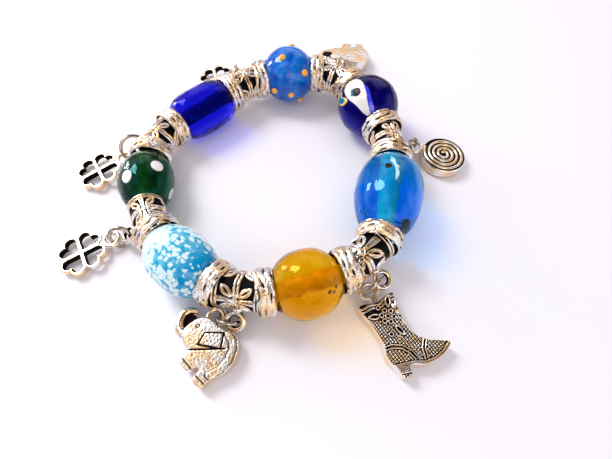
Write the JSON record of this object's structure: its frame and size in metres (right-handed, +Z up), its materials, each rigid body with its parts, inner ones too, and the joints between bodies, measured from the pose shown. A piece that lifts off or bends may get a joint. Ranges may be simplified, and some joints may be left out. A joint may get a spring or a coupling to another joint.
{
  "type": "beaded charm bracelet",
  "caption": "Stretch bracelet of large lampwork glass beads, antique silver spacer rings and hanger beads with small cast charms, lying in a loop.",
  "frame": {"origin": "under the middle of the bracelet's bounding box, on the surface that it lies on", "axes": "+Z up from the surface; the amber bead and the boot charm are towards -Y, the turquoise bead and the spiral charm towards +X"},
  "size_m": [0.101, 0.1058, 0.0159],
  "materials": {
    "glass_amber": "transparent honey lampwork glass",
    "glass_turquoise": "transparent azure lampwork glass with white inclusions",
    "glass_navy": "near-opaque dark navy lampwork glass with a white teardrop",
    "glass_dotted_blue": "royal blue lampwork glass with raised orange dots",
    "glass_cobalt": "transparent cobalt lampwork glass",
    "glass_green": "transparent emerald lampwork glass with flush white dots",
    "glass_sky": "turquoise and white frit under clear glass",
    "ring_pewter": "antique silver-plated pewter, darkened in the recesses",
    "hanger_pewter": "antique silver-plated pewter, blackened recesses",
    "charm_pewter": "antique silver-plated cast pewter",
    "jump_ring_steel": "bright plated round wire",
    "elastic_thread": "clear stretch bead cord"
  },
  "bodies": {
    "root": {"bead_amber": "glass_amber", "bead_turquoise": "glass_turquoise", "bead_navy": "glass_navy", "bead_dotted_blue": "glass_dotted_blue", "bead_cobalt": "glass_cobalt", "bead_green": "glass_green", "bead_sky": "glass_sky", "ring_01": "ring_pewter", "ring_02": "ring_pewter", "ring_03": "ring_pewter", "ring_04": "ring_pewter", "ring_05": "ring_pewter", "ring_06": "ring_pewter", "ring_07": "ring_pewter", "ring_08": "ring_pewter", "ring_09": "ring_pewter", "ring_10": "ring_pewter", "ring_11": "ring_pewter", "ring_12": "ring_pewter", "ring_13": "ring_pewter", "hanger_elephant_near": "hanger_pewter", "hanger_clover_near": "hanger_pewter", "hanger_clover_mid": "hanger_pewter", "hanger_clover_far": "hanger_pewter", "hanger_elephant_far": "hanger_pewter", "hanger_spiral": "hanger_pewter", "hanger_boot": "hanger_pewter", "charm_elephant_near": "charm_pewter", "charm_clover_near": "charm_pewter", "charm_clover_mid": "charm_pewter", "charm_clover_far": "charm_pewter", "charm_elephant_far": "charm_pewter", "charm_spiral": "charm_pewter", "charm_boot": "charm_pewter", "jump_ring_elephant_near": "jump_ring_steel", "jump_ring_clover_near": "jump_ring_steel", "jump_ring_clover_mid": "jump_ring_steel", "jump_ring_clover_far": "jump_ring_steel", "jump_ring_elephant_far": "jump_ring_steel", "jump_ring_spiral": "jump_ring_steel", "jump_ring_boot": "jump_ring_steel", "elastic": "elastic_thread"}
  },
  "joints": []
}
